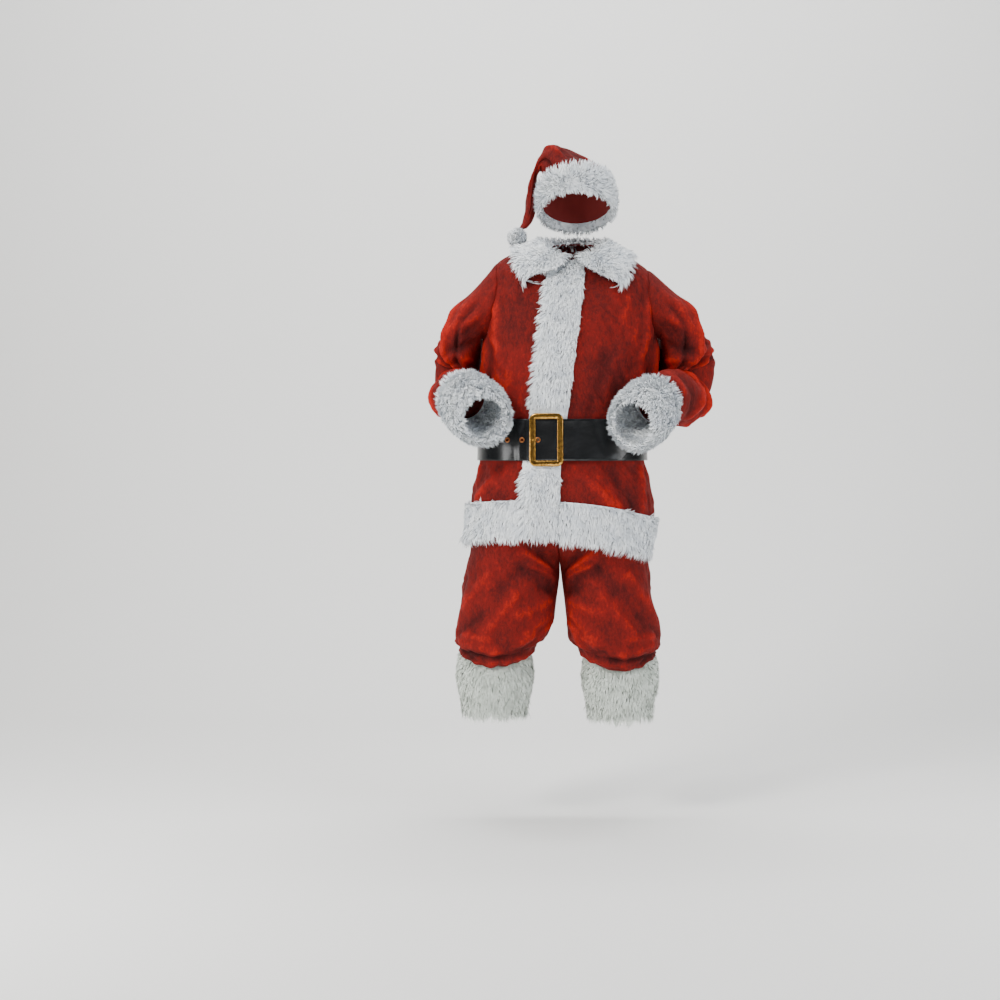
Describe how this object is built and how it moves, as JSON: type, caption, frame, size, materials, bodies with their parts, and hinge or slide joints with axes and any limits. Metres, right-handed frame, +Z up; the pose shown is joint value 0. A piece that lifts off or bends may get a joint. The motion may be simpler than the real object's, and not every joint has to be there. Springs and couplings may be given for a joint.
{
  "type": "santa suit",
  "caption": "Santa suit as worn: plush jacket, trousers and drooping hat with fur trim, pompom and a wide buckled belt; neck, cuffs, hem and leg ends are open.",
  "frame": {"origin": "where the jacket hangs on its wearer: midway between the shoulders at the base of the neck", "axes": "+Z up the wearer, -Y out of the front, +X to the wearer's left"},
  "size_m": [0.7603, 0.4896, 1.5163],
  "materials": {
    "plush": "crushed red plush",
    "fur": "white long-pile fur",
    "vinyl": "glossy black vinyl",
    "brass": "polished brass",
    "eyelet_brass": "worn copper-brass"
  },
  "bodies": {
    "root": {"jacket_front_left": "plush", "jacket_front_right": "plush", "jacket_back": "plush", "sleeve_left": "plush", "sleeve_right": "plush", "trousers_front_left": "plush", "trousers_front_right": "plush", "trousers_back_left": "plush", "trousers_back_right": "plush", "hat_front": "plush", "hat_back": "plush", "collar_fur": "fur", "front_band_fur": "fur", "hem_fur_left": "fur", "hem_fur_right": "fur", "hem_fur_back": "fur", "cuff_fur_left": "fur", "cuff_fur_right": "fur", "leg_fur_left": "fur", "leg_fur_right": "fur", "hat_band_fur": "fur", "hat_pompom": "fur", "belt_strap": "vinyl", "belt_buckle": "brass", "belt_prong": "brass", "belt_eyelet_1": "eyelet_brass", "belt_eyelet_2": "eyelet_brass", "belt_eyelet_3": "eyelet_brass"}
  },
  "joints": []
}
